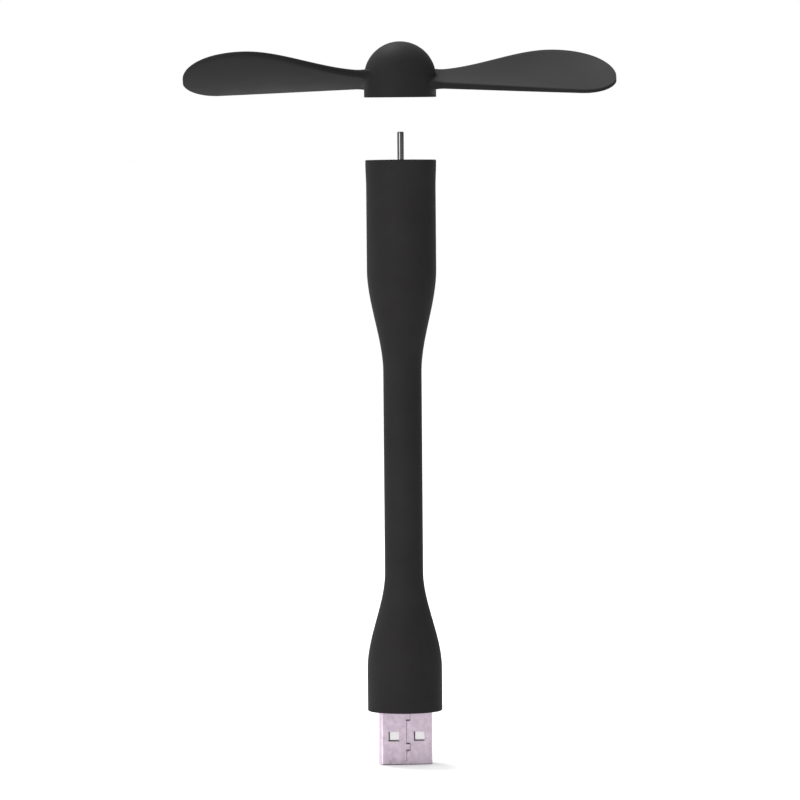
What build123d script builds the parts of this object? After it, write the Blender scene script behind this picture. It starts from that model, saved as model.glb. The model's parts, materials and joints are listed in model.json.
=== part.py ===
from build123d import *

import math
import os

# A plug-in stick fan: two-blade propeller, micro motor, bendable silicone neck, USB-A plug.
# Millimetres. The origin is the centre of the plug's end face and +Z runs up the stem.

# How far a cutter runs past the face it cuts
CUT_PAST = 1.0

# USB-A plug
PLUG_WIDTH = 12.0
PLUG_HEIGHT = 4.5
PLUG_EXPOSED = 12.0
PLUG_LENGTH = 18.75
SHELL_WALL = 0.3
SHELL_CORNER = 0.65
SHELL_CORNER_IN = 0.35
WINDOW_WIDTH = 2.5
WINDOW_LENGTH = 2.2
WINDOW_X = 2.9
WINDOW_Z = 6.3
SEAM_WIDTH = 0.1
SEAM_KEY_WIDTH = 0.8
SEAM_KEY_FLARE = 0.15
SEAM_KEYS = ((3.1, 4.7), (10.0, 11.6))
KEY_GAP = 0.3
KEY_GAP_START = -0.1
SEAM_RELIEF_WIDTH = 2.4
SEAM_RELIEF_DEPTH = 0.9
WINDOW_GAP = 0.34
TONGUE_START = 0.6
TONGUE_TOP = 0.0
TONGUE_GAP = 0.05
BLOCK_START = 14.0
CONTACT_XS = (-3.5, -1.0, 1.0, 3.5)
CONTACT_WIDTH = 1.0
CONTACT_BOTTOM = -0.25
CONTACT_TOP = 0.05
CONTACT_START = 1.6
CONTACT_END = 20.3
TAIL_SOLDER_LENGTH = 1.4
TAIL_SOLDER_PAST = 0.1

# Plug housing and its hard core
HOUSING_R = 8.5
HOUSING_FLOOR = 1.2
HOUSING_ROUND = 0.35
FLARE_BOTTOM = 21.8
FLARE_TOP = 43.8
SLOT_GAP = 0.05
CORE_R = 6.9
CORE_TOP = 24.0
CORE_BOSS_R = 4.5
CORE_BOSS_TOP = 29.0
CHAMBER_WIDTH = 9.4
CHAMBER_HEIGHT = 4.2
CHAMBER_TOP = 23.6

# Neck: a chain of ball-and-socket sections, one hinge at each ball's centre
NECK_R = 4.375
NECK_BORE_R = 3.1
HINGE_FIRST = 45.0
HINGE_PITCH = 6.0
HINGE_COUNT = 8
BALL_RISE = 1.5
SOCKET_GAP = 0.15
LIP_RISE = 1.8
WIRE_R = 1.0
LEAD_R = 0.55
LEAD_X = 1.65
STRAND_GAP = 0.6
WIRE_FOOT_GAP = 0.2
LEAD_TAIL_RUN = 1.2
LEAD_TAIL_BEND = 0.7
LEAD_CHAMBER_DROP = 0.3

# Motor sleeve, cup and front cap
SLEEVE_TOP = 137.5
SLEEVE_R = 7.9
LIP_R = 8.05
LIP_HEIGHT = 1.4
TAPER_BOTTOM = 89.2
TAPER_TOP = 112.7
CAVITY_R = 6.7
CAVITY_BOTTOM = 110.5
CAVITY_TOP = 136.5
MOUTH_R = 5.9
CUP_R = 6.65
CUP_BORE_R = 6.1
CUP_BOTTOM = 110.55
CUP_FLOOR = 1.2
CUP_TOP = 135.0
CUP_BOSS_R = 3.0
CUP_BOSS_BOTTOM = 104.0
CUP_BOSS_HOLE_TOP = 109.5
CAP_TOP = 136.45
CAP_FACE_R = 5.8
CAP_FACE_TOP = 137.2
CAP_HOLE_R = 2.5

# Motor
CAN_R = 6.0
CAN_WALL = 0.5
CAN_BOTTOM = 117.0
CAN_TOP = 135.0
BEARING_R = 1.7
BEARING_BORE_R = 0.78
FRONT_BEARING = (134.0, 136.8)
REAR_BEARING = (116.4, 118.8)
NOSE_R = 2.3
NOSE_TOP = 136.6
END_CAP_BOTTOM = 115.8
END_CAP_TOP = 119.0
END_CAP_PLUG_R = 5.45
MAGNET_IN_R = 4.2
MAGNET_OUT_R = 5.45
MAGNET_SPAN = (121.0, 132.0)
MAGNET_ARC = 140.0
TERMINAL_X = 3.6
TERMINAL_THICK = 0.4
TERMINAL_WIDTH = 1.6
TERMINAL_SPAN = (113.6, 119.6)
BRUSH_X = 1.85
BRUSH_THICK = 0.4
BRUSH_WIDTH = 1.6
BRUSH_TOP = 121.8
SOLDER_Z = 115.2
SOLDER_HEIGHT = 0.5
SOLDER_WIDTH = 1.0
LEAD_END_X = 2.85
LEAD_END_RUN = 1.4
LEAD_END_BEND = 0.8

# Rotor
SHAFT_R = 0.75
SHAFT_SPAN = (116.7, 143.9)
SHAFT_CHAMFER = 0.15
ROTOR_BORE_R = 0.76
CORE_SPAN = (123.2, 131.2)
POLES = 3
POLE_R = 3.9
POLE_SHOE_R = 3.4
POLE_SHOE_ARC = 92.0
ARM_WIDTH = 1.6
ROTOR_HUB_R = 1.4
COIL_WIDTH = 3.4
COIL_IN_R = 1.5
COIL_OUT_R = 2.9
COIL_OVERHANG = 0.6
COMMUTATOR_R = 1.6
COMMUTATOR_SPAN = (119.6, 122.3)
COMMUTATOR_SLOT = 0.25
COMMUTATOR_SLOT_DEPTH = 0.3
WASHER_R = 1.3
WASHER_SPANS = ((118.9, 119.4), (133.4, 133.9))

# Propeller, lifted off the shaft
PROP_BASE = 151.7
PROP_TURN = -7.0
HUB_R = 8.2
HUB_SIDE = 4.5
RECESS_IN_R = 3.4
RECESS_OUT_R = 6.8
RECESS_DEPTH = 5.0
BUSH_R = 2.2
BUSH_SPAN = (0.6, 7.6)
BUSH_BORE_TOP = 7.0
BLADE_ROOT = 5.0
BLADE_GROW = 6.0
BLADE_BELLY = 34.5
BLADE_NOSE = 41.0
BLADE_TIP = 49.3
ROOT_CHORD = 9.5
BELLY_CHORD = 23.4
TIP_CHORD_PLACE = 8.1
NEAR_EDGE_Y = -4.6
NEAR_EDGE_Z = 2.0
NEAR_EDGE_FALL = 0.037
ROOT_PITCH = 18.5
TIP_PITCH = 25.0
ROOT_THICK = 1.8
TIP_THICK = 0.8
BLADE_REACH = 44.1
BLADE_SECTIONS = 15


def hinge_z(index):
    """Height of hinge centre 1 to HINGE_COUNT."""
    return HINGE_FIRST + (index - 1) * HINGE_PITCH


def turned(*edges):
    """Solid of revolution about Z from half-profile edges that end where the first begins."""
    return revolve(make_face(Curve() + list(edges)), Axis.Z)


def at(radius, height):
    """Point of a half-profile."""
    return (radius, 0, height)


def path_line(*points):
    """Straight edges through half-profile points."""
    return Polyline(*[at(*point) for point in points])


def tube(outer, inner, bottom, top):
    """Plain tube about Z."""
    length = top - bottom
    ring = Cylinder(outer, length) - Cylinder(inner, length)
    return Pos(0, 0, bottom + length / 2) * ring


def rod(radius, bottom, top, x=0.0, y=0.0):
    """Plain rod along Z."""
    return Pos(x, y, (bottom + top) / 2) * Cylinder(radius, top - bottom)


def block(x_size, y_size, bottom, top, x=0.0, y=0.0):
    """Plain block standing between two heights."""
    return Pos(x, y, (bottom + top) / 2) * Box(x_size, y_size, top - bottom)


def sector(radius, height, arc):
    """Pie slice about Z that starts at +X, centred in height."""
    level = (Align.NONE, Align.NONE, Align.CENTER)
    return Cylinder(radius, height, arc_size=arc, align=level)


def prism(width, height, corner, bottom, top):
    """Rounded rectangular bar along Z."""
    outline = RectangleRounded(width, height, corner)
    return extrude(Pos(0, 0, bottom) * outline, amount=top - bottom)


def ball_edges(hinge):
    """Convex ball end from the outer wall at the hinge to the flat on top."""
    flat_r = math.sqrt(NECK_R**2 - BALL_RISE**2)
    middle = math.atan2(BALL_RISE, flat_r) / 2
    halfway = at(NECK_R * math.cos(middle), hinge + NECK_R * math.sin(middle))
    return ThreePointArc(at(NECK_R, hinge), halfway, at(flat_r, hinge + BALL_RISE))


def socket_edges(hinge):
    """Concave socket from the bore down to the flat lip, and the lip itself."""
    socket_r = NECK_R + SOCKET_GAP
    high = math.acos(NECK_BORE_R / socket_r)
    low = math.asin(LIP_RISE / socket_r)
    middle = (high + low) / 2
    start = at(NECK_BORE_R, hinge + socket_r * math.sin(high))
    halfway = at(socket_r * math.cos(middle), hinge + socket_r * math.sin(middle))
    end = at(socket_r * math.cos(low), hinge + LIP_RISE)
    return start, [ThreePointArc(start, halfway, end), Line(end, at(NECK_R, hinge + LIP_RISE))]


def plug_sleeve():
    """Silicone plug housing that flares out of the neck and ends in the first ball."""
    hinge = hinge_z(1)
    flat_r = math.sqrt(NECK_R**2 - BALL_RISE**2)
    floor = PLUG_EXPOSED + HOUSING_FLOOR
    core_r = CORE_R + SLOT_GAP
    boss_r = CORE_BOSS_R + SLOT_GAP
    flare = Spline(
        at(HOUSING_R, FLARE_BOTTOM),
        at(NECK_R, FLARE_TOP),
        tangents=[(0, 0, 1), (0, 0, 1)],
    )
    inside = path_line(
        (flat_r, hinge + BALL_RISE),
        (NECK_BORE_R, hinge + BALL_RISE),
        (NECK_BORE_R, CORE_BOSS_TOP),
        (boss_r, CORE_BOSS_TOP),
        (boss_r, CORE_TOP),
        (core_r, CORE_TOP),
        (core_r, floor),
        (0, floor),
        (0, PLUG_EXPOSED),
        (HOUSING_R - HOUSING_ROUND, PLUG_EXPOSED),
    )
    inset = HOUSING_ROUND * (1 - math.sqrt(0.5))
    rounded = ThreePointArc(
        at(HOUSING_R - HOUSING_ROUND, PLUG_EXPOSED),
        at(HOUSING_R - inset, PLUG_EXPOSED + inset),
        at(HOUSING_R, PLUG_EXPOSED + HOUSING_ROUND),
    )
    side = path_line((HOUSING_R, PLUG_EXPOSED + HOUSING_ROUND), (HOUSING_R, FLARE_BOTTOM))
    stub = path_line((NECK_R, FLARE_TOP), (NECK_R, hinge))
    body = turned(side, flare, stub, ball_edges(hinge), inside, rounded)
    slot = prism(
        PLUG_WIDTH + 2 * SLOT_GAP,
        PLUG_HEIGHT + 2 * SLOT_GAP,
        SHELL_CORNER + SLOT_GAP,
        PLUG_EXPOSED - CUT_PAST,
        floor + CUT_PAST,
    )
    return body - slot


def neck_sleeve(index):
    """Neck section above hinge number index: socket below, ball at the next hinge."""
    low = hinge_z(index)
    high = hinge_z(index + 1)
    flat_r = math.sqrt(NECK_R**2 - BALL_RISE**2)
    bore_end, socket = socket_edges(low)
    wall = path_line((NECK_R, low + LIP_RISE), (NECK_R, high))
    inside = path_line(
        (flat_r, high + BALL_RISE),
        (NECK_BORE_R, high + BALL_RISE),
        (bore_end[0], bore_end[2]),
    )
    return turned(*socket, wall, ball_edges(high), inside)


def motor_sleeve():
    """Silicone head: last socket, taper, straight sleeve round the motor and a small lip."""
    low = hinge_z(HINGE_COUNT)
    bore_end, socket = socket_edges(low)
    taper = Spline(
        at(NECK_R, TAPER_BOTTOM),
        at(SLEEVE_R, TAPER_TOP),
        tangents=[(0, 0, 1), (0, 0, 1)],
    )
    wall = path_line((NECK_R, low + LIP_RISE), (NECK_R, TAPER_BOTTOM))
    inside = path_line(
        (SLEEVE_R, TAPER_TOP),
        (SLEEVE_R, SLEEVE_TOP - LIP_HEIGHT),
        (LIP_R, SLEEVE_TOP - LIP_HEIGHT / 2),
        (LIP_R, SLEEVE_TOP),
        (MOUTH_R, SLEEVE_TOP),
        (MOUTH_R, CAVITY_TOP),
        (CAVITY_R, CAVITY_TOP),
        (CAVITY_R, CAVITY_BOTTOM),
        (NECK_BORE_R, CAVITY_BOTTOM),
        (bore_end[0], bore_end[2]),
    )
    return turned(*socket, wall, taper, inside)


def usb_shell():
    """Folded steel shell, open at both ends, with windows and a keyed seam on the -Y side."""
    inner_width = PLUG_WIDTH - 2 * SHELL_WALL
    inner_height = PLUG_HEIGHT - 2 * SHELL_WALL
    shell = prism(PLUG_WIDTH, PLUG_HEIGHT, SHELL_CORNER, 0, PLUG_LENGTH)
    cut_top = PLUG_LENGTH + CUT_PAST
    shell -= prism(inner_width, inner_height, SHELL_CORNER_IN, -CUT_PAST, cut_top)
    for side in (-1, 1):
        low = WINDOW_Z - WINDOW_LENGTH / 2
        shell -= block(WINDOW_WIDTH, 2 * PLUG_HEIGHT, low, low + WINDOW_LENGTH, side * WINDOW_X)
    points = [(0, -CUT_PAST)]
    for low, high in SEAM_KEYS:
        points += [(0, low + SEAM_KEY_FLARE), (SEAM_KEY_WIDTH, low)]
        points += [(SEAM_KEY_WIDTH, high), (0, high - SEAM_KEY_FLARE)]
    points.append((0, cut_top))
    seam = Plane.XZ * trace(Polyline(*points), SEAM_WIDTH)
    shell -= extrude(Pos(0, -PLUG_HEIGHT / 2, 0) * seam, amount=2 * SHELL_WALL, both=True)
    gap_width = SEAM_KEY_WIDTH - KEY_GAP_START
    for height in [end for key in SEAM_KEYS for end in key]:
        low = height - KEY_GAP / 2
        middle_x = KEY_GAP_START + gap_width / 2
        shell -= block(gap_width, 4 * SHELL_WALL, low, low + KEY_GAP, middle_x, -PLUG_HEIGHT / 2)
    return shell


def usb_contacts():
    """Four flat contacts that run back to the solder tails."""
    thick = CONTACT_TOP - CONTACT_BOTTOM
    middle = (CONTACT_TOP + CONTACT_BOTTOM) / 2
    return [
        block(CONTACT_WIDTH, thick, CONTACT_START, CONTACT_END, x, middle) for x in CONTACT_XS
    ]


def usb_insulator():
    """Plastic tongue against the seam side, with a block that closes the shell's back.

    It is relieved behind the seam, and slotted along two sides of each window.
    """
    inner_width = PLUG_WIDTH - 2 * SHELL_WALL - 2 * TONGUE_GAP
    inner_height = PLUG_HEIGHT - 2 * SHELL_WALL - 2 * TONGUE_GAP
    bar = prism(inner_width, inner_height, SHELL_CORNER_IN, TONGUE_START, PLUG_LENGTH - TONGUE_GAP)
    above = block(PLUG_WIDTH, PLUG_HEIGHT, 0, BLOCK_START, 0, TONGUE_TOP + PLUG_HEIGHT / 2)
    bar -= above
    for contact in usb_contacts():
        bar -= contact
    face = SHELL_WALL + TONGUE_GAP - PLUG_HEIGHT / 2
    relief_y = face + SEAM_RELIEF_DEPTH / 2
    bar -= block(SEAM_RELIEF_WIDTH, SEAM_RELIEF_DEPTH, 0, BLOCK_START, SEAM_KEY_WIDTH / 2, relief_y)
    low = WINDOW_Z - WINDOW_LENGTH / 2
    slot_y = (face + CONTACT_BOTTOM - TONGUE_GAP) / 2
    slot_depth = CONTACT_BOTTOM - TONGUE_GAP - face
    for side in (-1, 1):
        middle = side * WINDOW_X
        left = middle - (WINDOW_WIDTH - WINDOW_GAP) / 2
        bar -= block(WINDOW_GAP, slot_depth, low, low + WINDOW_LENGTH, left, slot_y)
        bar -= block(WINDOW_WIDTH, slot_depth, low, low + WINDOW_GAP, middle, slot_y)
    return bar


def plug_core():
    """Hard moulding round the plug's back, with a boss that anchors the bend wire."""
    core = rod(CORE_R, PLUG_EXPOSED + HOUSING_FLOOR, CORE_TOP)
    core += rod(CORE_BOSS_R, CORE_TOP, CORE_BOSS_TOP)
    pocket_width = PLUG_WIDTH + SLOT_GAP
    pocket_height = PLUG_HEIGHT + SLOT_GAP
    core -= prism(pocket_width, pocket_height, SHELL_CORNER, PLUG_EXPOSED, PLUG_LENGTH)
    core -= block(CHAMBER_WIDTH, CHAMBER_HEIGHT, PLUG_LENGTH, CHAMBER_TOP)
    core -= rod(WIRE_R, CHAMBER_TOP, CORE_BOSS_TOP)
    for side in (-1, 1):
        core -= rod(LEAD_R + SLOT_GAP, CHAMBER_TOP, CORE_BOSS_TOP, side * LEAD_X)
    return core


def plug_solder():
    """Solder on the two outer contact tails."""
    low = CONTACT_END - TAIL_SOLDER_LENGTH
    high = CONTACT_END + TAIL_SOLDER_PAST
    middle = CONTACT_TOP + LEAD_R
    return [
        block(CONTACT_WIDTH, 2 * LEAD_R, low, high, x, middle)
        for x in (CONTACT_XS[0], CONTACT_XS[-1])
    ]


def lead(points, corner):
    """One insulated lead along a route of straight runs and small bends."""
    route = FilletPolyline(*points, radius=corner)
    return sweep(Plane(route @ 0, z_dir=route % 0) * Circle(LEAD_R), path=route)


def strand_span(index):
    """Lowest and highest point of the wire and leads in link number index."""
    low = hinge_z(index) + STRAND_GAP
    high = hinge_z(index + 1) - STRAND_GAP
    return low, high


def leads(index):
    """The two leads' stretch in one link, with their soldered ends in the first and last."""
    low, high = strand_span(index)
    pair = []
    for side in (-1, 1):
        x = side * LEAD_X
        if index == 0:
            tail_x = side * CONTACT_XS[-1]
            tail_y = CONTACT_TOP + LEAD_R
            start = CONTACT_END + TAIL_SOLDER_PAST
            tail = [(tail_x, tail_y, start), (tail_x, tail_y, start + LEAD_TAIL_RUN)]
            rise = [(x, 0, CHAMBER_TOP - LEAD_CHAMBER_DROP), (x, 0, high)]
            pair.append(lead(tail + rise, LEAD_TAIL_BEND))
        elif index == HINGE_COUNT:
            end_x = side * LEAD_END_X
            rise = [(x, 0, low), (x, 0, SOLDER_Z - 2 * LEAD_END_RUN)]
            end = [(end_x, 0, SOLDER_Z - LEAD_END_RUN), (end_x, 0, SOLDER_Z)]
            pair.append(lead(rise + end, LEAD_END_BEND))
        else:
            pair.append(rod(LEAD_R, low, high, x))
    return pair


def bend_wire(index):
    """The bend wire's stretch in one link; its ends sit in the core and the cup."""
    low, high = strand_span(index)
    if index == 0:
        low = CORE_TOP + WIRE_FOOT_GAP
    if index == HINGE_COUNT:
        high = CUP_BOSS_HOLE_TOP
    return rod(WIRE_R, low, high)


def motor_cup():
    """Rigid cup round the motor, with a boss in the neck that anchors the bend wire."""
    cup = tube(CUP_R, CUP_BORE_R, CUP_BOTTOM, CUP_TOP)
    cup += rod(CUP_R, CUP_BOTTOM, CUP_BOTTOM + CUP_FLOOR)
    cup += rod(CUP_BOSS_R, CUP_BOSS_BOTTOM, CUP_BOTTOM)
    cup -= rod(WIRE_R, CUP_BOSS_BOTTOM, CUP_BOSS_HOLE_TOP)
    for side in (-1, 1):
        cup -= rod(LEAD_R + SLOT_GAP, CUP_BOSS_BOTTOM, CUP_BOTTOM + CUP_FLOOR, side * LEAD_X)
    return cup


def front_cap():
    """Plastic ring that closes the cup and shows inside the sleeve's mouth."""
    cap = tube(CUP_R, CAP_HOLE_R, CUP_TOP, CAP_TOP)
    return cap + tube(CAP_FACE_R, CAP_HOLE_R, CAP_TOP, CAP_FACE_TOP)


def motor_can():
    """Drawn steel can with a nose for the front bearing."""
    can = tube(CAN_R, CAN_R - CAN_WALL, CAN_BOTTOM, CAN_TOP)
    can += tube(CAN_R, BEARING_R, CAN_TOP - CAN_WALL, CAN_TOP)
    return can + tube(NOSE_R, BEARING_R, CAN_TOP, NOSE_TOP)


def motor_end_cap():
    """Plastic end cap with the rear bearing's pocket and two terminal slots."""
    cap = rod(CAN_R, END_CAP_BOTTOM, CAN_BOTTOM) + rod(END_CAP_PLUG_R, CAN_BOTTOM, END_CAP_TOP)
    cap -= rod(BEARING_R, REAR_BEARING[0], END_CAP_TOP)
    for terminal in motor_terminals():
        cap -= terminal
    return cap


def motor_terminals():
    """Two brass blades through the end cap."""
    return [
        block(TERMINAL_THICK, TERMINAL_WIDTH, *TERMINAL_SPAN, side * TERMINAL_X)
        for side in (-1, 1)
    ]


def motor_solder():
    """Solder between each lead's end and its terminal."""
    face_x = TERMINAL_X - TERMINAL_THICK / 2
    width = 2 * (face_x - LEAD_END_X)
    top = SOLDER_Z + SOLDER_HEIGHT
    return [
        block(width, SOLDER_WIDTH, SOLDER_Z, top, side * LEAD_END_X) for side in (-1, 1)
    ]


def brushes():
    """Two spring brushes that stand on the end cap beside the commutator."""
    return [
        block(BRUSH_THICK, BRUSH_WIDTH, END_CAP_TOP, BRUSH_TOP, side * BRUSH_X)
        for side in (-1, 1)
    ]


def magnet(direction):
    """Arc magnet inside the can, centred on a direction in degrees."""
    low, high = MAGNET_SPAN
    start = direction - MAGNET_ARC / 2
    ring = sector(MAGNET_OUT_R, high - low, MAGNET_ARC) - Cylinder(MAGNET_IN_R, high - low)
    return Pos(0, 0, (low + high) / 2) * Rot(0, 0, start) * ring


def rotor_core():
    """Three-pole laminated core."""
    low, high = CORE_SPAN
    height = high - low
    core = Cylinder(ROTOR_HUB_R, height)
    shoe = sector(POLE_R, height, POLE_SHOE_ARC) - Cylinder(POLE_SHOE_R, height)
    reach = (POLE_SHOE_R + POLE_R) / 2
    for pole in range(POLES):
        turn = Rot(0, 0, pole * 360 / POLES)
        core += turn * (Rot(0, 0, -POLE_SHOE_ARC / 2) * shoe)
        core += turn * (Pos(reach / 2, 0, 0) * Box(reach, ARM_WIDTH, height))
    core -= Cylinder(ROTOR_BORE_R, height)
    return Pos(0, 0, (low + high) / 2) * core


def windings():
    """One coil round each arm of the core."""
    low, high = CORE_SPAN
    height = high - low
    depth = COIL_OUT_R - COIL_IN_R
    middle = (COIL_OUT_R + COIL_IN_R) / 2
    coil = Box(depth, COIL_WIDTH, height + 2 * COIL_OVERHANG) - Box(depth, ARM_WIDTH, height)
    lift = Pos(0, 0, (low + high) / 2)
    return [lift * Rot(0, 0, pole * 360 / POLES) * Pos(middle, 0, 0) * coil for pole in range(POLES)]


def commutator():
    """Copper commutator with three slots."""
    body = tube(COMMUTATOR_R, ROTOR_BORE_R, *COMMUTATOR_SPAN)
    cut_x = COMMUTATOR_R - COMMUTATOR_SLOT_DEPTH / 2
    slot = block(COMMUTATOR_SLOT_DEPTH, COMMUTATOR_SLOT, *COMMUTATOR_SPAN, cut_x)
    for pole in range(POLES):
        body -= Rot(0, 0, (pole + 0.5) * 360 / POLES) * slot
    return body


def shaft():
    """Polished shaft with chamfered ends."""
    body = rod(SHAFT_R, *SHAFT_SPAN)
    return chamfer(body.edges().filter_by(GeomType.CIRCLE), SHAFT_CHAMFER)


def smoothstep(value):
    """Rises from 0 to 1 with level ends."""
    value = min(max(value, 0.0), 1.0)
    return value * value * (3 - 2 * value)


def blade_edges(x):
    """Places of the two blade edges along the chord at span x, from the straight edge's line."""
    if x <= BLADE_BELLY:
        grown = smoothstep((x - BLADE_GROW) / (BLADE_BELLY - BLADE_GROW))
        far = ROOT_CHORD + (BELLY_CHORD - ROOT_CHORD) * grown
    else:
        along = (x - BLADE_BELLY) / (BLADE_TIP - BLADE_BELLY)
        far = TIP_CHORD_PLACE + (BELLY_CHORD - TIP_CHORD_PLACE) * math.sqrt(1 - along**2)
    along = max(0.0, (x - BLADE_NOSE) / (BLADE_TIP - BLADE_NOSE))
    near = TIP_CHORD_PLACE * (1 - math.sqrt(1 - along**2))
    return near, far


def blade_section(x):
    """Cross-section of the blade at span x: a thin plate with round edges, pitched."""
    share = (x - BLADE_ROOT) / (BLADE_TIP - BLADE_ROOT)
    pitch = math.radians(ROOT_PITCH + (TIP_PITCH - ROOT_PITCH) * share)
    thick = ROOT_THICK + (TIP_THICK - ROOT_THICK) * share
    near, far = blade_edges(x)
    along = (0, math.cos(pitch), math.sin(pitch))
    edge_z = PROP_BASE + NEAR_EDGE_Z - NEAR_EDGE_FALL * x
    plane = Plane(origin=(x, NEAR_EDGE_Y, edge_z), x_dir=along, z_dir=(1, 0, 0))
    return plane * Pos((near + far) / 2, thick / 2) * SlotOverall(far - near, thick)


def blade():
    """Blade along +X: a loft through sections that stand closer together towards the tip."""
    turns = [math.pi / 2 * step / BLADE_SECTIONS for step in range(BLADE_SECTIONS + 1)]
    return loft([blade_section(BLADE_ROOT + BLADE_REACH * math.sin(turn)) for turn in turns])


def propeller():
    """Soft one-piece propeller: domed hub with a recess below, and two pitched blades."""
    side_top = PROP_BASE + HUB_SIDE
    slant = HUB_R * math.sqrt(0.5)
    dome = ThreePointArc(
        at(HUB_R, side_top), at(slant, side_top + slant), at(0, side_top + HUB_R)
    )
    sides = path_line((0, side_top + HUB_R), (0, PROP_BASE), (HUB_R, PROP_BASE), (HUB_R, side_top))
    hub = turned(sides, dome)
    body = hub + blade() + Rot(0, 0, 180) * blade()
    body -= tube(RECESS_OUT_R, RECESS_IN_R, PROP_BASE, PROP_BASE + RECESS_DEPTH)
    body -= rod(BUSH_R, PROP_BASE, PROP_BASE + BUSH_SPAN[1])
    return Rot(0, 0, PROP_TURN) * body


def hub_bush():
    """Hard bush that grips the shaft."""
    low, high = BUSH_SPAN
    body = rod(BUSH_R, PROP_BASE + low, PROP_BASE + high)
    return body - rod(BEARING_BORE_R, PROP_BASE, PROP_BASE + BUSH_BORE_TOP)


def save(name, pieces):
    """Write one node's solids to its own STEP file."""
    solids = pieces if isinstance(pieces, list) else [pieces]
    flat = [solid for piece in solids for solid in piece.solids()]
    export_step(Compound(children=flat) if len(flat) > 1 else flat[0], f"parts/{name}.step")


os.makedirs("parts", exist_ok=True)

save("usb_shell", usb_shell())
save("usb_insulator", usb_insulator())
save("usb_contacts", usb_contacts())
save("plug_core", plug_core())
save("plug_solder", plug_solder())
save("plug_sleeve", plug_sleeve())
for link in range(1, HINGE_COUNT):
    save(f"neck_sleeve_{link}", neck_sleeve(link))
for link in range(HINGE_COUNT + 1):
    save(f"bend_wire_{link}", bend_wire(link))
    save(f"leads_{link}", leads(link))
save("motor_sleeve", motor_sleeve())
save("motor_cup", motor_cup())
save("front_cap", front_cap())
save("motor_can", motor_can())
save("front_bearing", tube(BEARING_R, BEARING_BORE_R, *FRONT_BEARING))
save("rear_bearing", tube(BEARING_R, BEARING_BORE_R, *REAR_BEARING))
save("motor_end_cap", motor_end_cap())
save("motor_terminals", motor_terminals())
save("motor_solder", motor_solder())
save("brushes", brushes())
save("magnet_front", magnet(-90))
save("magnet_back", magnet(90))
save("shaft", shaft())
save("rotor_core", rotor_core())
save("windings", windings())
save("commutator", commutator())
save("thrust_washers", [tube(WASHER_R, ROTOR_BORE_R, *span) for span in WASHER_SPANS])
save("propeller", propeller())
save("hub_bush", hub_bush())
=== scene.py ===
import bmesh
import bpy
import json
import math
from mathutils import Matrix, Vector


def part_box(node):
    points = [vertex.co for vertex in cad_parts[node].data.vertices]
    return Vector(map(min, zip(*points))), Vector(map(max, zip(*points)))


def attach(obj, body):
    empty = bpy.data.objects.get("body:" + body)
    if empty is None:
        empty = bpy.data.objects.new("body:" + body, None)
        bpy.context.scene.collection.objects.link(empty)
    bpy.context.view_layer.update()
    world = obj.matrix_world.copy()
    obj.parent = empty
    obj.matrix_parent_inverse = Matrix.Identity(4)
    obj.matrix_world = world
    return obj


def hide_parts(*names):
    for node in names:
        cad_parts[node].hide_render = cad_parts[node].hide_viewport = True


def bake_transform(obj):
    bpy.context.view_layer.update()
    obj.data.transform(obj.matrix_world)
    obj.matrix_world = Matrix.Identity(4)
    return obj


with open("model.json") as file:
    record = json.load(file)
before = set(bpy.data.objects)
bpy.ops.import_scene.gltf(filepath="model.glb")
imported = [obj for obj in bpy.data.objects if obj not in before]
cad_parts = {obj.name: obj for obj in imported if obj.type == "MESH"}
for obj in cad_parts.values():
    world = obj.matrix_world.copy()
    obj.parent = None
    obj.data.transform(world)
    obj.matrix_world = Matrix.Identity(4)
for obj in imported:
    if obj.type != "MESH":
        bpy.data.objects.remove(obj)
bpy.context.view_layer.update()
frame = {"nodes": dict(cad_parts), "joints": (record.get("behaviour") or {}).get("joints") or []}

# ---------------------------------------------------------------------------------------------
# The plug. A thin plated steel shell is folded round a white moulded tongue with four gold
# plated contacts. Its back end stands in a hard black core, with the leads soldered behind.
def new_material(name, colour, roughness, metallic=0.0):
    """A plain material to build on: its node tree, and its Principled shader."""
    material = bpy.data.materials.new(name)
    material.use_nodes = True
    shader = material.node_tree.nodes["Principled BSDF"]
    shader.inputs["Base Color"].default_value = (*colour, 1.0)
    shader.inputs["Roughness"].default_value = roughness
    shader.inputs["Metallic"].default_value = metallic
    return material, material.node_tree, shader


def group_frame(name, inputs, outputs):
    """Empty shader node group with named float inputs (with defaults) and float outputs."""
    group = bpy.data.node_groups.new(name, "ShaderNodeTree")
    for label, value in inputs:
        socket = group.interface.new_socket(label, in_out="INPUT", socket_type="NodeSocketFloat")
        socket.default_value = value
    for label in outputs:
        group.interface.new_socket(label, in_out="OUTPUT", socket_type="NodeSocketFloat")
    entry = group.nodes.new("NodeGroupInput")
    result = group.nodes.new("NodeGroupOutput")
    return group, entry, result


def build_grain():
    """Fine grain over slow mottling: heights for the bump, and a mask for tone."""
    inputs = (("Grain Scale", 4000.0), ("Mottle Scale", 90.0))
    group, entry, result = group_frame("fine_grain", inputs, ("Height", "Mottle"))
    place = group.nodes.new("ShaderNodeTexCoord")
    fine = group.nodes.new("ShaderNodeTexNoise")
    fine.inputs["Detail"].default_value = 3.0
    fine.inputs["Roughness"].default_value = 0.6
    slow = group.nodes.new("ShaderNodeTexNoise")
    slow.inputs["Detail"].default_value = 4.0
    slow.inputs["Roughness"].default_value = 0.55
    for noise, label in ((fine, "Grain Scale"), (slow, "Mottle Scale")):
        group.links.new(place.outputs["Object"], noise.inputs["Vector"])
        group.links.new(entry.outputs[label], noise.inputs["Scale"])
    group.links.new(fine.outputs["Fac"], result.inputs["Height"])
    group.links.new(slow.outputs["Fac"], result.inputs["Mottle"])
    return group


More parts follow.
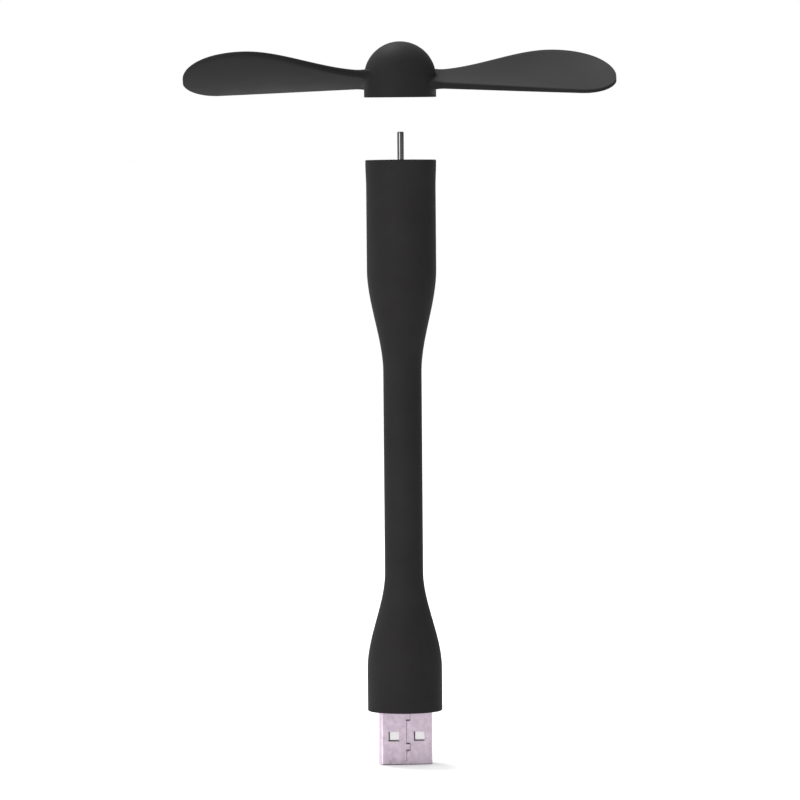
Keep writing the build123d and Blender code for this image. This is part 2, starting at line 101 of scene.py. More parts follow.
def build_scratches():
    """Long fine scratches along the stem's direction or round it, and smudges across them."""
    inputs = (("Across", 9000.0), ("Along", 300.0), ("Smudge Scale", 250.0))
    group, entry, result = group_frame("drawn_scratches", inputs, ("Height", "Smudge"))
    place = group.nodes.new("ShaderNodeTexCoord")
    stretch = group.nodes.new("ShaderNodeVectorMath")
    stretch.operation = "MULTIPLY"
    factors = group.nodes.new("ShaderNodeCombineXYZ")
    group.links.new(entry.outputs["Across"], factors.inputs["X"])
    group.links.new(entry.outputs["Across"], factors.inputs["Y"])
    group.links.new(entry.outputs["Along"], factors.inputs["Z"])
    group.links.new(place.outputs["Object"], stretch.inputs[0])
    group.links.new(factors.outputs["Vector"], stretch.inputs[1])
    lines = group.nodes.new("ShaderNodeTexNoise")
    lines.inputs["Scale"].default_value = 1.0
    lines.inputs["Detail"].default_value = 2.0
    group.links.new(stretch.outputs["Vector"], lines.inputs["Vector"])
    smudge = group.nodes.new("ShaderNodeTexNoise")
    smudge.inputs["Detail"].default_value = 5.0
    group.links.new(place.outputs["Object"], smudge.inputs["Vector"])
    group.links.new(entry.outputs["Smudge Scale"], smudge.inputs["Scale"])
    group.links.new(lines.outputs["Fac"], result.inputs["Height"])
    group.links.new(smudge.outputs["Fac"], result.inputs["Smudge"])
    return group


fine_grain = build_grain()
drawn_scratches = build_scratches()
noise_low = 0.3
noise_high = 0.7


def place_group(tree, group, **values):
    """One use of an effect in a material, with its own values."""
    node = tree.nodes.new("ShaderNodeGroup")
    node.node_tree = group
    for label, value in values.items():
        node.inputs[label.replace("_", " ")].default_value = value
    return node


def mask_to(tree, mask, low, high, socket):
    """Spread a noise mask over a range of values and send it to a socket."""
    spread = tree.nodes.new("ShaderNodeMapRange")
    spread.inputs["From Min"].default_value = noise_low
    spread.inputs["From Max"].default_value = noise_high
    spread.inputs["To Min"].default_value = low
    spread.inputs["To Max"].default_value = high
    tree.links.new(mask, spread.inputs["Value"])
    tree.links.new(spread.outputs["Result"], socket)


def tint(tree, mask, dark, light, socket):
    """Mix two colours by a noise mask and send the result to a socket."""
    ramp = tree.nodes.new("ShaderNodeValToRGB")
    ramp.color_ramp.elements[0].position = noise_low
    ramp.color_ramp.elements[0].color = (*dark, 1.0)
    ramp.color_ramp.elements[1].position = noise_high
    ramp.color_ramp.elements[1].color = (*light, 1.0)
    tree.links.new(mask, ramp.inputs["Fac"])
    tree.links.new(ramp.outputs["Color"], socket)


def emboss(tree, height, shader, distance):
    """Bump from a height mask, its depth in metres."""
    bump = tree.nodes.new("ShaderNodeBump")
    bump.inputs["Distance"].default_value = distance
    tree.links.new(height, bump.inputs["Height"])
    tree.links.new(bump.outputs["Normal"], shader.inputs["Normal"])


def moulded(name, colour, light, roughness, grain=4000.0, depth=6e-6, gloss=0.5):
    """Moulded rubber or plastic: fine grain, slow mottling of tone and of roughness."""
    spread = 0.05
    material, tree, shader = new_material(name, colour, roughness)
    shader.inputs["Specular IOR Level"].default_value = gloss
    effect = place_group(tree, fine_grain, Grain_Scale=grain)
    mottle = effect.outputs["Mottle"]
    tint(tree, mottle, colour, light, shader.inputs["Base Color"])
    mask_to(tree, mottle, roughness - spread, roughness + spread, shader.inputs["Roughness"])
    emboss(tree, effect.outputs["Height"], shader, depth)
    return material


def worked_metal(
    name, colour, light, roughness, across=9000.0, along=300.0, depth=3e-6, smudges=250.0
):
    """Drawn, rolled or ground metal: directional scratches with smudges over them."""
    wiped = roughness * 0.75
    smudged = roughness * 1.3
    material, tree, shader = new_material(name, colour, roughness, metallic=1.0)
    effect = place_group(
        tree, drawn_scratches, Across=across, Along=along, Smudge_Scale=smudges
    )
    smudge = effect.outputs["Smudge"]
    tint(tree, smudge, colour, light, shader.inputs["Base Color"])
    mask_to(tree, smudge, wiped, smudged, shader.inputs["Roughness"])
    emboss(tree, effect.outputs["Height"], shader, depth)
    return material


def dress(material, slot, *nodes):
    """Give a CAD piece its finish."""
    for node in nodes:
        piece = frame["nodes"][node]
        for place in piece.material_slots:
            place.material = material


shell_steel = worked_metal(
    "plated_steel",
    (0.45, 0.37, 0.445),
    (0.63, 0.53, 0.615),
    0.34,
    across=700.0,
    along=5000.0,
    smudges=800.0,
)
tongue_white = moulded("white_nylon", (0.66, 0.64, 0.65), (0.74, 0.72, 0.73), 0.45, depth=2e-6)
contact_gold = worked_metal("gold_plate", (0.78, 0.52, 0.20), (0.88, 0.64, 0.30), 0.28)
core_black = moulded("black_core", (0.016, 0.016, 0.016), (0.022, 0.022, 0.022), 0.5)
solder_tin = worked_metal(
    "solder_tin", (0.50, 0.50, 0.49), (0.66, 0.66, 0.65), 0.4, across=900.0, along=900.0
)
dress(shell_steel, "plated_steel", "usb_shell")
dress(tongue_white, "white_plastic", "usb_insulator")
dress(contact_gold, "gold_contact", "usb_contacts")
dress(core_black, "black_plastic", "plug_core")
dress(solder_tin, "solder", "plug_solder", "motor_solder")


# ---------------------------------------------------------------------------------------------
# The plug housing. The lower end of the one-piece silicone skin: straight sides, a small round
# at the foot, a slot for the plug and a flare that runs up into the neck.
silicone = moulded(
    "black_silicone", (0.0149, 0.0139, 0.0144), (0.0190, 0.0180, 0.0185), 0.6, gloss=0.04
)

skin_sides = 96
hinges = sorted(
    (joint for joint in frame["joints"] if joint["name"].startswith("neck_bend")),
    key=lambda joint: joint["pos_m"][2],
)
hinge_heights = [joint["pos_m"][2] for joint in hinges]
half_link = (hinge_heights[1] - hinge_heights[0]) / 2
neck_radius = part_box("neck_sleeve_1")[1].x
neck_bore = 0.0031
housing_low, housing_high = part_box("plug_sleeve")
housing_radius = housing_high.x
sleeve_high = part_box("motor_sleeve")[1]
lip_radius = sleeve_high.x
lip_swell = 0.00015
sleeve_radius = lip_radius - lip_swell
straight_side = 0.0098
flare_to_hinge = 0.0012
hinge_to_taper = 0.0022
taper_length = 0.0235
flare_low = housing_low.z + straight_side
flare_high = hinge_heights[0] - flare_to_hinge
taper_low = hinge_heights[-1] + hinge_to_taper
taper_high = taper_low + taper_length


def eased(value, low, high):
    """0 below low, 1 above high, with level ends."""
    share = min(max((value - low) / (high - low), 0.0), 1.0)
    return share * share * (3 - 2 * share)


def skin_radius(height):
    """Outer radius of the silicone skin, housing, neck and motor sleeve alike."""
    radius = neck_radius
    radius += (housing_radius - neck_radius) * (1 - eased(height, flare_low, flare_high))
    radius += (sleeve_radius - neck_radius) * eased(height, taper_low, taper_high)
    return radius


def steps(start, end, count):
    """Evenly spaced values from start to end, both included."""
    return [start + (end - start) * step / count for step in range(count + 1)]


def arc(centre, radius, start, end, count=6):
    """Points of an arc in a half-profile, its angles in degrees from outward to upward."""
    turns = [math.radians(angle) for angle in steps(start, end, count)]
    return [
        (centre[0] + radius * math.cos(turn), centre[1] + radius * math.sin(turn)) for turn in turns
    ]


def finished_piece(name, shape, material, crease=math.radians(35)):
    """Turn a bmesh into an object: doubles merged, faces outward, smooth but for its corners."""
    bmesh.ops.remove_doubles(shape, verts=shape.verts, dist=1e-7)
    bmesh.ops.recalc_face_normals(shape, faces=shape.faces)
    for face in shape.faces:
        face.smooth = True
    for edge in shape.edges:
        edge.smooth = len(edge.link_faces) == 2 and edge.calc_face_angle() < crease
    mesh = bpy.data.meshes.new(name)
    shape.to_mesh(mesh)
    shape.free()
    mesh.materials.append(material)
    piece = bpy.data.objects.new(name, mesh)
    bpy.context.scene.collection.objects.link(piece)
    return piece


def turned(outline, sides):
    """bmesh turned about Z from a closed half-profile of (radius, height) points."""
    shape = bmesh.new()
    rings = []
    for radius, height in outline:
        if radius < 1e-9:
            rings.append([shape.verts.new((0, 0, height))])
            continue
        turns = [2 * math.pi * side / sides for side in range(sides)]
        spots = [(radius * math.cos(turn), radius * math.sin(turn), height) for turn in turns]
        rings.append([shape.verts.new(spot) for spot in spots])
    for ring, following in zip(rings, rings[1:] + rings[:1]):
        if len(ring) == 1 and len(following) == 1:
            continue
        for side in range(sides):
            ahead = (side + 1) % sides
            if len(ring) == 1:
                shape.faces.new((ring[0], following[ahead], following[side]))
            elif len(following) == 1:
                shape.faces.new((ring[side], ring[ahead], following[0]))
            else:
                shape.faces.new((ring[side], ring[ahead], following[ahead], following[side]))
    return shape


def combine(piece, other, operation):
    """Cut or join two closed pieces and keep the result as a plain mesh on the first."""
    change = piece.modifiers.new("change", "BOOLEAN")
    change.operation = operation
    change.solver = "EXACT"
    change.object = other
    graph = bpy.context.evaluated_depsgraph_get()
    result = bpy.data.meshes.new_from_object(piece.evaluated_get(graph))
    piece.modifiers.remove(change)
    result.name = piece.name
    piece.data = result
    bpy.data.objects.remove(other)


def rounded_bar(name, width, height, corner, bottom, top, material):
    """Closed bar along Z with a rounded rectangular section."""
    shape = bmesh.new()
    outline = []
    for sign_x, sign_y, start in ((1, 1, 0), (-1, 1, 90), (-1, -1, 180), (1, -1, 270)):
        centre = (sign_x * (width / 2 - corner), sign_y * (height / 2 - corner))
        outline += arc(centre, corner, start, start + 90)
    lower = [shape.verts.new((x, y, bottom)) for x, y in outline]
    upper = [shape.verts.new((x, y, top)) for x, y in outline]
    shape.faces.new(lower)
    shape.faces.new(upper)
    for index, vert in enumerate(lower):
        ahead = (index + 1) % len(lower)
        shape.faces.new((vert, lower[ahead], upper[ahead], upper[index]))
    return finished_piece(name, shape, material)


def housing_outline():
    """Half-profile of the plug housing, up to where the first stretch of the neck begins."""
    foot = housing_low.z
    foot_wall = 0.0012
    foot_round = 0.00035
    straight_from = foot + 0.002
    core_gap = 0.00005
    core_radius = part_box("plug_core")[1].x + core_gap
    boss_radius = 0.00455
    shoulder = 0.024
    floor_top = foot + foot_wall
    boss_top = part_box("plug_core")[1].z
    top = hinge_heights[0] - half_link
    outline = [(0.0, foot)]
    outline += arc((housing_radius - foot_round, foot + foot_round), foot_round, -90, 0)
    outline += [(skin_radius(z), z) for z in steps(straight_from, top, 60)]
    outline += [(neck_bore, top), (neck_bore, boss_top), (boss_radius, boss_top)]
    outline += [(boss_radius, shoulder), (core_radius, shoulder), (core_radius, floor_top)]
    outline.append((0.0, floor_top))
    return outline


plug_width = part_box("usb_shell")[1].x * 2
plug_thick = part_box("usb_shell")[1].y * 2
slot_gap = 0.00005
slot_corner = 0.0007
slot_below = 0.001
slot_above = 0.002
plug_housing = finished_piece(
    "plug_housing_skin", turned(housing_outline(), skin_sides), silicone
)
plug_slot = rounded_bar(
    "plug_slot",
    plug_width + 2 * slot_gap,
    plug_thick + 2 * slot_gap,
    slot_corner,
    housing_low.z - slot_below,
    housing_low.z + slot_above,
    silicone,
)
combine(plug_housing, plug_slot, "DIFFERENCE")
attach(plug_housing, "plug")
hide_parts("plug_sleeve")


# ---------------------------------------------------------------------------------------------
# The neck. The same silicone skin round the wire inside. Each stretch runs from the middle
# of one link to the middle of the next, over the hinge between, so that the stretches
# meet end to end at every hinge.
def socket_in(tree, label, kind, value):
    """Named input of a geometry tree."""
    entry = tree.interface.new_socket(label, in_out="INPUT", socket_type=kind)
    if value is not None:
        entry.default_value = value


def number_node(tree, operation, *operands):
    """Math node whose operands are numbers or sockets."""
    node = tree.nodes.new("ShaderNodeMath")
    node.operation = operation
    for index, operand in enumerate(operands):
        if isinstance(operand, (int, float)):
            node.inputs[index].default_value = operand
        else:
            tree.links.new(operand, node.inputs[index])
    return node.outputs["Value"]


def eased_node(tree, value, low, high):
    """Level-ended rise from 0 to 1 between two heights."""
    node = tree.nodes.new("ShaderNodeMapRange")
    node.interpolation_type = "SMOOTHSTEP"
    for socket, label in ((value, "Value"), (low, "From Min"), (high, "From Max")):
        tree.links.new(socket, node.inputs[label])
    return node.outputs["Result"]


def build_skin_tree():
    """Closed tube whose outside follows the flare, the neck and the taper by height."""
    tree = bpy.data.node_groups.new("neck_skin", "GeometryNodeTree")
    tree.interface.new_socket("Geometry", in_out="INPUT", socket_type="NodeSocketGeometry")
    for label in ("Bottom", "Top", "Bore Radius", "Neck Radius", "Housing Radius"):
        socket_in(tree, label, "NodeSocketFloat", 0.0)
    for label in ("Sleeve Radius", "Flare Low", "Flare High", "Taper Low", "Taper High"):
        socket_in(tree, label, "NodeSocketFloat", 0.0)
    socket_in(tree, "Rings", "NodeSocketInt", 12)
    socket_in(tree, "Sides", "NodeSocketInt", 96)
    socket_in(tree, "Material", "NodeSocketMaterial", None)
    tree.interface.new_socket("Geometry", in_out="OUTPUT", socket_type="NodeSocketGeometry")
    given = tree.nodes.new("NodeGroupInput").outputs
    grid = tree.nodes.new("GeometryNodeMeshGrid")
    double = number_node(tree, "MULTIPLY", given["Rings"], 2.0)
    tree.links.new(number_node(tree, "ADD", double, 1.0), grid.inputs["Vertices X"])
    tree.links.new(number_node(tree, "ADD", given["Sides"], 1.0), grid.inputs["Vertices Y"])
    place = tree.nodes.new("ShaderNodeSeparateXYZ")
    tree.links.new(tree.nodes.new("GeometryNodeInputPosition").outputs["Position"], place.inputs[0])
    along = number_node(tree, "MULTIPLY", number_node(tree, "ADD", place.outputs["X"], 0.5), double)
    column = number_node(tree, "ROUND", along)
    last = number_node(tree, "SUBTRACT", given["Rings"], 1.0)
    mirrored = number_node(tree, "SUBTRACT", number_node(tree, "SUBTRACT", double, 1.0), column)
    nearer = number_node(tree, "MINIMUM", column, mirrored)
    level = number_node(tree, "MAXIMUM", number_node(tree, "DIVIDE", nearer, last), 0.0)
    reach = number_node(tree, "SUBTRACT", given["Top"], given["Bottom"])
    height = number_node(tree, "MULTIPLY_ADD", level, reach, given["Bottom"])
    inner_middle = number_node(tree, "MULTIPLY_ADD", given["Rings"], 1.5, -0.5)
    off_middle = number_node(tree, "ABSOLUTE", number_node(tree, "SUBTRACT", column, inner_middle))
    half = number_node(tree, "MULTIPLY", given["Rings"], 0.5)
    outside = number_node(tree, "GREATER_THAN", off_middle, half)
    flare = eased_node(tree, height, given["Flare Low"], given["Flare High"])
    taper = eased_node(tree, height, given["Taper Low"], given["Taper High"])
    foot = number_node(tree, "SUBTRACT", given["Housing Radius"], given["Neck Radius"])
    head = number_node(tree, "SUBTRACT", given["Sleeve Radius"], given["Neck Radius"])
    unflared = number_node(tree, "SUBTRACT", 1.0, flare)
    radius = number_node(tree, "MULTIPLY_ADD", foot, unflared, given["Neck Radius"])
    radius = number_node(tree, "MULTIPLY_ADD", head, taper, radius)
    wall = number_node(tree, "SUBTRACT", radius, given["Bore Radius"])
    radius = number_node(tree, "MULTIPLY_ADD", wall, outside, given["Bore Radius"])
    turn = number_node(tree, "MULTIPLY", number_node(tree, "ADD", place.outputs["Y"], 0.5), math.tau)
    point = tree.nodes.new("ShaderNodeCombineXYZ")
    x_place = number_node(tree, "MULTIPLY", radius, number_node(tree, "COSINE", turn))
    y_place = number_node(tree, "MULTIPLY", radius, number_node(tree, "SINE", turn))
    tree.links.new(x_place, point.inputs["X"])
    tree.links.new(y_place, point.inputs["Y"])
    tree.links.new(height, point.inputs["Z"])
    rolled = tree.nodes.new("GeometryNodeSetPosition")
    tree.links.new(grid.outputs["Mesh"], rolled.inputs["Geometry"])
    tree.links.new(point.outputs["Vector"], rolled.inputs["Position"])
    closed = tree.nodes.new("GeometryNodeMergeByDistance")
    closed.inputs["Distance"].default_value = 1e-6
    tree.links.new(rolled.outputs["Geometry"], closed.inputs["Geometry"])
    real = tree.nodes.new("GeometryNodeRealizeInstances")
    tree.links.new(closed.outputs["Geometry"], real.inputs["Geometry"])
    finish = tree.nodes.new("GeometryNodeSetMaterial")
    tree.links.new(real.outputs["Geometry"], finish.inputs["Geometry"])
    tree.links.new(given["Material"], finish.inputs["Material"])
    result = tree.nodes.new("NodeGroupOutput")
    tree.links.new(finish.outputs["Geometry"], result.inputs["Geometry"])
    return tree


def grown(name, tree, values):
    """bmesh of what a geometry tree makes from these named values."""
    carrier = bpy.data.objects.new(name, bpy.data.meshes.new(name))
    bpy.context.scene.collection.objects.link(carrier)
    growth = carrier.modifiers.new("growth", "NODES")
    growth.node_group = tree
    for item in tree.interface.items_tree:
        if item.in_out == "INPUT" and item.name in values:
            growth[item.identifier] = values[item.name]
    graph = bpy.context.evaluated_depsgraph_get()
    mesh = bpy.data.meshes.new_from_object(carrier.evaluated_get(graph))
    bpy.data.objects.remove(carrier)
    shape = bmesh.new()
    shape.from_mesh(mesh)
    bpy.data.meshes.remove(mesh)
    return shape


skin_tree = build_skin_tree()
skin_rule = {
    "Bore Radius": neck_bore,
    "Neck Radius": neck_radius,
    "Housing Radius": housing_radius,
    "Sleeve Radius": sleeve_radius,
    "Flare Low": flare_low,
    "Flare High": flare_high,
    "Taper Low": taper_low,
    "Taper High": taper_high,
    "Rings": 17,
    "Sides": skin_sides,
    "Material": silicone,
}
for number, hinge in enumerate(hinges, 1):
    bottom = hinge["pos_m"][2] - half_link
    top = hinge["pos_m"][2] + half_link
    stretch_shape = grown("stretch", skin_tree, {**skin_rule, "Bottom": bottom, "Top": top})
    stretch = finished_piece(f"neck_skin_{number}", stretch_shape, silicone)
    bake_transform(stretch)
    if number < len(hinges):
        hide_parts(f"neck_sleeve_{number}")


# ---------------------------------------------------------------------------------------------
# What the neck holds. A soft annealed wire keeps the bend, and two insulated leads, red and
# black, carry the supply up to the motor.
wire_grey = worked_metal("annealed_wire", (0.24, 0.23, 0.22), (0.38, 0.37, 0.36), 0.45)


def lead_material():
    """Extruded insulation, red on one side of the wire and black on the other."""
    material, tree, shader = new_material("lead_insulation", (0.42, 0.012, 0.012), 0.4)
    place = tree.nodes.new("ShaderNodeTexCoord")
    apart = tree.nodes.new("ShaderNodeSeparateXYZ")
    side = tree.nodes.new("ShaderNodeMath")
    side.operation = "GREATER_THAN"
    side.inputs[1].default_value = 0.0
    tree.links.new(place.outputs["Object"], apart.inputs["Vector"])
    tree.links.new(apart.outputs["X"], side.inputs[0])
    black = (0.02, 0.02, 0.02)
    red = (0.42, 0.012, 0.012)
    tint(tree, side.outputs["Value"], black, red, shader.inputs["Base Color"])
    effect = place_group(tree, fine_grain, Grain_Scale=6000.0)
    mask_to(tree, effect.outputs["Mottle"], 0.34, 0.46, shader.inputs["Roughness"])
    emboss(tree, effect.outputs["Height"], shader, 2e-6)
    return material


link_numbers = range(len(hinges) + 1)
dress(wire_grey, "wire_steel", *[f"bend_wire_{number}" for number in link_numbers])
dress(lead_material(), "lead_insulation", *[f"leads_{number}" for number in link_numbers])


# ---------------------------------------------------------------------------------------------
# The motor sleeve. The top of the silicone skin: it tapers out of the neck, runs straight over
# the motor and ends in a slightly fuller lip that turns in over the cap.
def sleeve_outline():
    """Half-profile of the motor sleeve, from the middle of the stretch above the last hinge."""
    bottom = hinge_heights[-1] + half_link
    lip_full = sleeve_high.z - 0.0008
    lip_low = lip_full - 0.0054
    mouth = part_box("front_cap")[1].z
    mouth_radius = 0.0059
    cavity_radius = 0.0067
    cavity_low = 0.1105
    cavity_high = sleeve_high.z - 0.001
    soft = 0.0002
    outline = [(skin_radius(z), z) for z in steps(bottom, lip_low, 90)]
    for height in steps(lip_low, lip_full, 12)[1:]:
        outline.append((sleeve_radius + lip_swell * eased(height, lip_low, lip_full), height))
    outline += arc((lip_radius - soft, sleeve_high.z - soft), soft, 0, 90)
    outline += arc((mouth_radius + soft, sleeve_high.z - soft), soft, 90, 180)
    outline += [(mouth_radius, cavity_high), (cavity_radius, cavity_high)]
    outline += [(cavity_radius, cavity_low), (neck_bore, cavity_low), (neck_bore, bottom)]
    return outline


motor_skin = finished_piece(
    "motor_sleeve_skin", turned(sleeve_outline(), skin_sides), silicone
)
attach(motor_skin, "motor_head")
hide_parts("motor_sleeve")


# ---------------------------------------------------------------------------------------------
# The motor in its cup. A hard black cup and ring hold a drawn, plated can with sintered bronze
# bearings, two arc magnets, a white end cap, brass terminals and spring brushes.
cup_black = moulded("black_cup", (0.018, 0.018, 0.018), (0.026, 0.026, 0.026), 0.42, grain=2500.0)
can_steel = worked_metal("plated_can", (0.46, 0.46, 0.45), (0.60, 0.60, 0.59), 0.3)
bronze = worked_metal(
    "sintered_bronze", (0.34, 0.20, 0.09), (0.50, 0.32, 0.16), 0.5, across=5000.0, along=5000.0
)
brass = worked_metal("stamped_brass", (0.62, 0.45, 0.18), (0.74, 0.58, 0.28), 0.32)
ferrite = moulded("ferrite", (0.035, 0.035, 0.038), (0.055, 0.055, 0.06), 0.6, grain=3000.0)
dress(cup_black, "black_plastic", "motor_cup", "front_cap")
dress(can_steel, "can_steel", "motor_can")
dress(bronze, "bronze", "front_bearing", "rear_bearing")
dress(tongue_white, "white_plastic", "motor_end_cap")
dress(brass, "brass", "motor_terminals", "brushes")
dress(ferrite, "ferrite", "magnet_front", "magnet_back")


# ---------------------------------------------------------------------------------------------
# The rotor. A polished shaft carries a stack of laminations with three enamelled coils, a
# copper commutator and two fibre washers, and stands out of the sleeve's mouth.
shaft_steel = worked_metal(
    "polished_steel",
    (0.115, 0.112, 0.118),
    (0.145, 0.142, 0.148),
    0.07,
    across=300.0,
    along=9000.0,
    depth=3e-8,
)
sheet_iron = worked_metal(
    "lamination",
    (0.16, 0.16, 0.17),
    (0.26, 0.26, 0.27),
    0.5,
    across=100.0,
    along=9000.0,
    depth=2e-5,
)
enamel_copper = worked_metal("enamelled_copper", (0.46, 0.15, 0.05), (0.62, 0.24, 0.09), 0.3)
fibre = moulded("fibre_washer", (0.26, 0.16, 0.09), (0.34, 0.23, 0.13), 0.7)
dress(shaft_steel, "polished_steel", "shaft")
dress(sheet_iron, "lamination", "rotor_core")
dress(enamel_copper, "copper_wire", "windings", "commutator")
dress(fibre, "washer_fibre", "thrust_washers")


# ---------------------------------------------------------------------------------------------
# The propeller. One soft satin moulding: a domed hub, hollow below, and two broad pitched
# blades that thicken as they run into it. A hard bush in its boss grips the shaft.
propeller_soft = moulded(
    "propeller_soft", (0.0118, 0.0113, 0.0113), (0.0151, 0.0146, 0.0146), 0.6, grain=3000.0, gloss=0.055
)
bush_black = moulded("bush_black", (0.02, 0.02, 0.02), (0.03, 0.03, 0.03), 0.35)
dress(bush_black, "black_plastic", "hub_bush")

hub_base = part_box("propeller")[0].z
hub_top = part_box("propeller")[1].z
hub_radius = 0.0082
hub_side = hub_top - hub_base - hub_radius
blade_turn = math.radians(-7.0)
blade_tip = 0.0493
blade_root = 0.005
blade_belly = 0.0345
blade_nose = 0.041
chord_grows_from = 0.006
root_chord = 0.0095
belly_chord = 0.0234
tip_place = 0.0081
near_edge_y = -0.0046
near_edge_z = 0.0020
near_edge_fall = 0.037
root_pitch = math.radians(18.5)
tip_pitch = math.radians(25.0)
blade_sag = 0.0011
root_thick = 0.0018
tip_thick = 0.0008
fillet_full = 0.0075
fillet_end = 0.0098
fillet_wider = 0.0002
fillet_thicker = 0.0005


def blade_edges(x):
    """Places of the blade's two edges along its chord, from the line of the straight edge."""
    if x <= blade_belly:
        far = root_chord + (belly_chord - root_chord) * eased(x, chord_grows_from, blade_belly)
    else:
        along = (x - blade_belly) / (blade_tip - blade_belly)
        far = tip_place + (belly_chord - tip_place) * math.sqrt(max(0.0, 1 - along * along))
    along = max(0.0, (x - blade_nose) / (blade_tip - blade_nose))
    near = tip_place * (1 - math.sqrt(max(0.0, 1 - along * along)))
    return near, far


def blade_ring(x, points_across=22, points_round=6):
    """Ring of points round the blade at span x: a thin plate with round edges and some camber."""
    share = (x - blade_root) / (blade_tip - blade_root)
    pitch = root_pitch + (tip_pitch - root_pitch) * share
    fillet = 1 - eased(x, fillet_full, fillet_end)
    thick = root_thick + (tip_thick - root_thick) * share
    near, far = blade_edges(x)
    near -= fillet_wider * fillet
    far += fillet_wider * fillet
    full = thick + fillet_thicker * fillet
    edge = min(full, far - near) / 2
    outline = [(u, edge) for u in steps(near + edge, far - edge, points_across)]
    outline += arc((far - edge, 0.0), edge, 90, -90, points_round)[1:-1]
    outline += [(u, -edge) for u in steps(far - edge, near + edge, points_across)]
    outline += arc((near + edge, 0.0), edge, 270, 90, points_round)[1:-1]
    middle = (near + far) / 2
    half_chord = (far - near) / 2
    sag = blade_sag * ((far - near) / belly_chord) ** 2
    ring = []
    for u, v in outline:
        lift = v + thick / 2 - sag * (1 - ((u - middle) / half_chord) ** 2)
        y = near_edge_y + u * math.cos(pitch) - lift * math.sin(pitch)
        z = hub_base + near_edge_z - near_edge_fall * x + u * math.sin(pitch) + lift * math.cos(pitch)
        ring.append((x, y, z))
    return ring


def blade_piece(name, turn):
    """One closed blade, turned about the hub's axis, with its rings closest at the tip."""
    shape = bmesh.new()
    turned_way = Matrix.Rotation(turn, 3, "Z")
    tip_flat = 0.0001
    reach = blade_tip - tip_flat - blade_root
    spans = [blade_root + reach * math.sin(angle) for angle in steps(0.0, math.pi / 2, 70)]
    rings = []
    for x in spans:
        rings.append([shape.verts.new(turned_way @ Vector(spot)) for spot in blade_ring(x)])
    for ring, following in zip(rings, rings[1:]):
        for index, vert in enumerate(ring):
            ahead = (index + 1) % len(ring)
            shape.faces.new((vert, ring[ahead], following[ahead], following[index]))
    shape.faces.new(rings[0])
    shape.faces.new(rings[-1])
    return finished_piece(name, shape, propeller_soft)


def hub_outline():
    """Half-profile of the hub: dome and side, a recess below, and the boss round the bush."""
    recess_out = 0.0068
    recess_in = 0.0034
    recess_deep = 0.005
    recess_top = hub_base + recess_deep
    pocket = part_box("hub_bush")[1].x
    pocket_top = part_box("hub_bush")[1].z
    soft = 0.00015
    outline = [(0.0, pocket_top), (pocket, pocket_top), (pocket, hub_base)]
    outline += [(recess_in, hub_base), (recess_in, recess_top)]
    outline += [(recess_out, recess_top), (recess_out, hub_base)]
    outline += arc((hub_radius - soft, hub_base + soft), soft, -90, 0, 4)
    outline += arc((0.0, hub_base + hub_side), hub_radius, 0, 90, 40)
    return outline


hub_sides = 128
blade_count = 2
propeller = finished_piece(
    "propeller_moulding", turned(hub_outline(), hub_sides), propeller_soft
)
for number in range(blade_count):
    turn = blade_turn + number * math.tau / blade_count
    combine(propeller, blade_piece(f"blade_{number}", turn), "UNION")
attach(propeller, "propeller")
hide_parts("propeller")


# ---------------------------------------------------------------------------------------------
# The studio. The fan stands on its plug on a plain pale floor. A long lens looks at it from the
# height of the hub, a little to the plug's left. The surround is brightest high on the left and
# dim on the right. A soft lamp above and behind lights the dome, and a tall one the left side.
view_height = 0.155
view_turn = math.radians(-7.0)
view_distance = 1.5
frame_width = 0.1818
aim_height = 0.0829
aim_side = -0.0006
camera_roll = math.radians(-0.48)
across = Vector((math.cos(view_turn), math.sin(view_turn), 0))
backward = Vector((math.sin(view_turn), -math.cos(view_turn), 0))

camera_data = bpy.data.cameras.new("studio_camera")
camera_data.sensor_width = 36.0
camera_data.lens = camera_data.sensor_width * view_distance / frame_width
camera_data.clip_start = 0.1
camera_data.clip_end = 50.0
camera = bpy.data.objects.new("studio_camera", camera_data)
bpy.context.scene.collection.objects.link(camera)
bpy.context.scene.camera = camera
aim = across * aim_side + Vector((0, 0, aim_height))
camera.location = backward * view_distance + across * aim_side + Vector((0, 0, view_height))
camera.rotation_euler = (aim - camera.location).to_track_quat("-Z", "Y").to_euler()
camera.rotation_euler.rotate_axis("Z", camera_roll)


def soft_lamp(name, side, forward, height, width, tall, watts):
    """Rectangular lamp placed by the camera's own left and right, aimed at the fan's middle."""
    data = bpy.data.lights.new(name, "AREA")
    data.shape = "RECTANGLE"
    data.size = width
    data.size_y = tall
    data.energy = watts
    lamp = bpy.data.objects.new(name, data)
    bpy.context.scene.collection.objects.link(lamp)
    lamp.location = across * side + backward * forward + Vector((0, 0, height))
    lamp.rotation_euler = (aim - lamp.location).to_track_quat("-Z", "Y").to_euler()


soft_lamp(
    "top_lamp", side=-0.30, forward=-0.45, height=1.15, width=0.5, tall=0.4, watts=10.8
)
soft_lamp(
    "strip_lamp", side=-0.70, forward=1.10, height=0.25, width=0.35, tall=0.9, watts=9.0
)

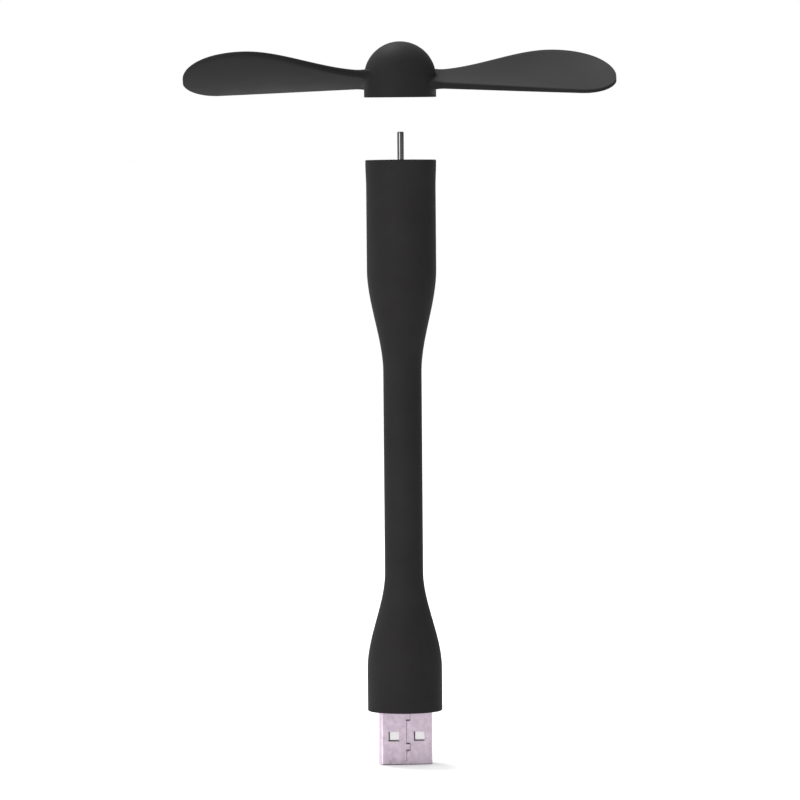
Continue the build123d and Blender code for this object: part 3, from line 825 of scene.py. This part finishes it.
brightest_way = (-0.30, 0.05, 0.90)
dim_side = 0.05
bright_side = 2.1
world = bpy.data.worlds.new("pale_surround")
bpy.context.scene.world = world
world.use_nodes = True
surround = world.node_tree
surround.nodes.clear()
sky_way = surround.nodes.new("ShaderNodeTexCoord")
facing = surround.nodes.new("ShaderNodeVectorMath")
facing.operation = "DOT_PRODUCT"
facing.inputs[1].default_value = brightest_way
brightness = surround.nodes.new("ShaderNodeMapRange")
brightness.inputs["From Min"].default_value = -0.3
brightness.inputs["From Max"].default_value = 0.9
brightness.inputs["To Min"].default_value = dim_side
brightness.inputs["To Max"].default_value = bright_side
lit = surround.nodes.new("ShaderNodeBackground")
seen = surround.nodes.new("ShaderNodeBackground")
seen.inputs["Color"].default_value = (1.0, 1.0, 1.0, 1.0)
choice = surround.nodes.new("ShaderNodeMixShader")
rays = surround.nodes.new("ShaderNodeLightPath")
world_out = surround.nodes.new("ShaderNodeOutputWorld")
surround.links.new(sky_way.outputs["Generated"], facing.inputs[0])
surround.links.new(facing.outputs["Value"], brightness.inputs["Value"])
surround.links.new(brightness.outputs["Result"], lit.inputs["Strength"])
surround.links.new(rays.outputs["Is Camera Ray"], choice.inputs["Fac"])
surround.links.new(lit.outputs["Background"], choice.inputs[1])
surround.links.new(seen.outputs["Background"], choice.inputs[2])
surround.links.new(choice.outputs["Shader"], world_out.inputs["Surface"])
bpy.context.scene.view_settings.view_transform = "Standard"

floor_reach = 12.0
floor_drop = 0.0002
floor_mesh = bpy.data.meshes.new("floor")
floor_corners = [(-floor_reach, -floor_reach), (floor_reach, -floor_reach)]
floor_corners += [(floor_reach, floor_reach), (-floor_reach, floor_reach)]
floor_mesh.from_pydata([(x, y, -floor_drop) for x, y in floor_corners], [], [(0, 1, 2, 3)])
floor = bpy.data.objects.new("floor", floor_mesh)
bpy.context.scene.collection.objects.link(floor)
floor_paint, floor_tree, floor_shader = new_material("pale_floor", (0.80, 0.80, 0.80), 0.9)
floor_shader.inputs["Specular IOR Level"].default_value = 0.0
floor_mesh.materials.append(floor_paint)
